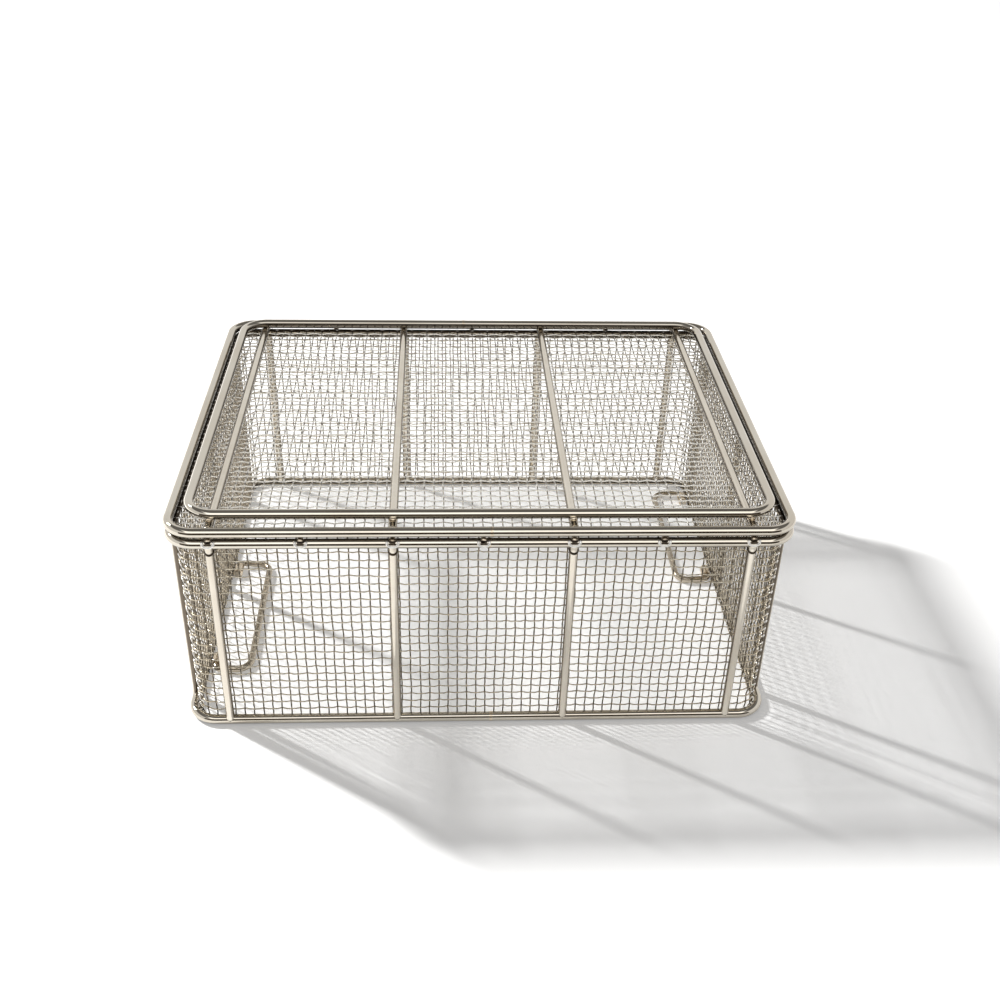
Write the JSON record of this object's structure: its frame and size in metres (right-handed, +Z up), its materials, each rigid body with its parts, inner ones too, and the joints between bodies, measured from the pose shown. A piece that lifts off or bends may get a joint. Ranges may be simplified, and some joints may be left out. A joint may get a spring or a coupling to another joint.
{
  "type": "autoclave basket",
  "caption": "Rectangular stainless wire-mesh autoclave basket standing mouth down, with bar rings, upright rods, a stacking foot ring and two drop handles.",
  "frame": {"origin": "middle of the footprint, on the ground under the rim ring", "axes": "+Z up through the closed base, which is on top, +X along the long walls, +Y from the front wall to the back wall"},
  "size_m": [0.325, 0.2564, 0.1347],
  "materials": {
    "ring_bar": "electropolished round bar",
    "rod_bar": "satin polished round rod",
    "wire_cloth": "bright woven wire",
    "weld_metal": "electropolished weld",
    "handle_wire": "satin polished wire"
  },
  "bodies": {
    "basket": {"rim_ring": "ring_bar", "base_ring_lower": "ring_bar", "base_ring_upper": "ring_bar", "foot_ring": "ring_bar", "rod_front_1": "rod_bar", "rod_front_2": "rod_bar", "rod_front_3": "rod_bar", "rod_front_4": "rod_bar", "rod_back_1": "rod_bar", "rod_back_2": "rod_bar", "rod_back_3": "rod_bar", "rod_back_4": "rod_bar", "rod_left_1": "rod_bar", "rod_left_2": "rod_bar", "rod_left_3": "rod_bar", "rod_right_1": "rod_bar", "rod_right_2": "rod_bar", "rod_right_3": "rod_bar", "base_rod_1": "rod_bar", "base_rod_2": "rod_bar", "base_rod_3": "rod_bar", "base_rod_4": "rod_bar", "cloth_front": "wire_cloth", "cloth_back": "wire_cloth", "cloth_left": "wire_cloth", "cloth_right": "wire_cloth", "cloth_base": "wire_cloth", "corner_front_left": "wire_cloth", "corner_front_right": "wire_cloth", "corner_back_left": "wire_cloth", "corner_back_right": "wire_cloth", "handle_sleeves_left": "weld_metal", "handle_sleeves_right": "weld_metal", "weld_beads": "weld_metal"},
    "handle_left": {"handle_left": "handle_wire"},
    "handle_right": {"handle_right": "handle_wire"}
  },
  "joints": [
    {"name": "left_handle_hinge", "type": "hinge", "parent": "basket", "child": "handle_left", "pos_m": [-0.153, -0.03075, 0.0033], "axis": [0, 1, 0], "range_deg": [-93, 105]},
    {"name": "right_handle_hinge", "type": "hinge", "parent": "basket", "child": "handle_right", "pos_m": [0.153, 0.05425, 0.0033], "axis": [0, -1, 0], "range_deg": [-93, 105]}
  ]
}
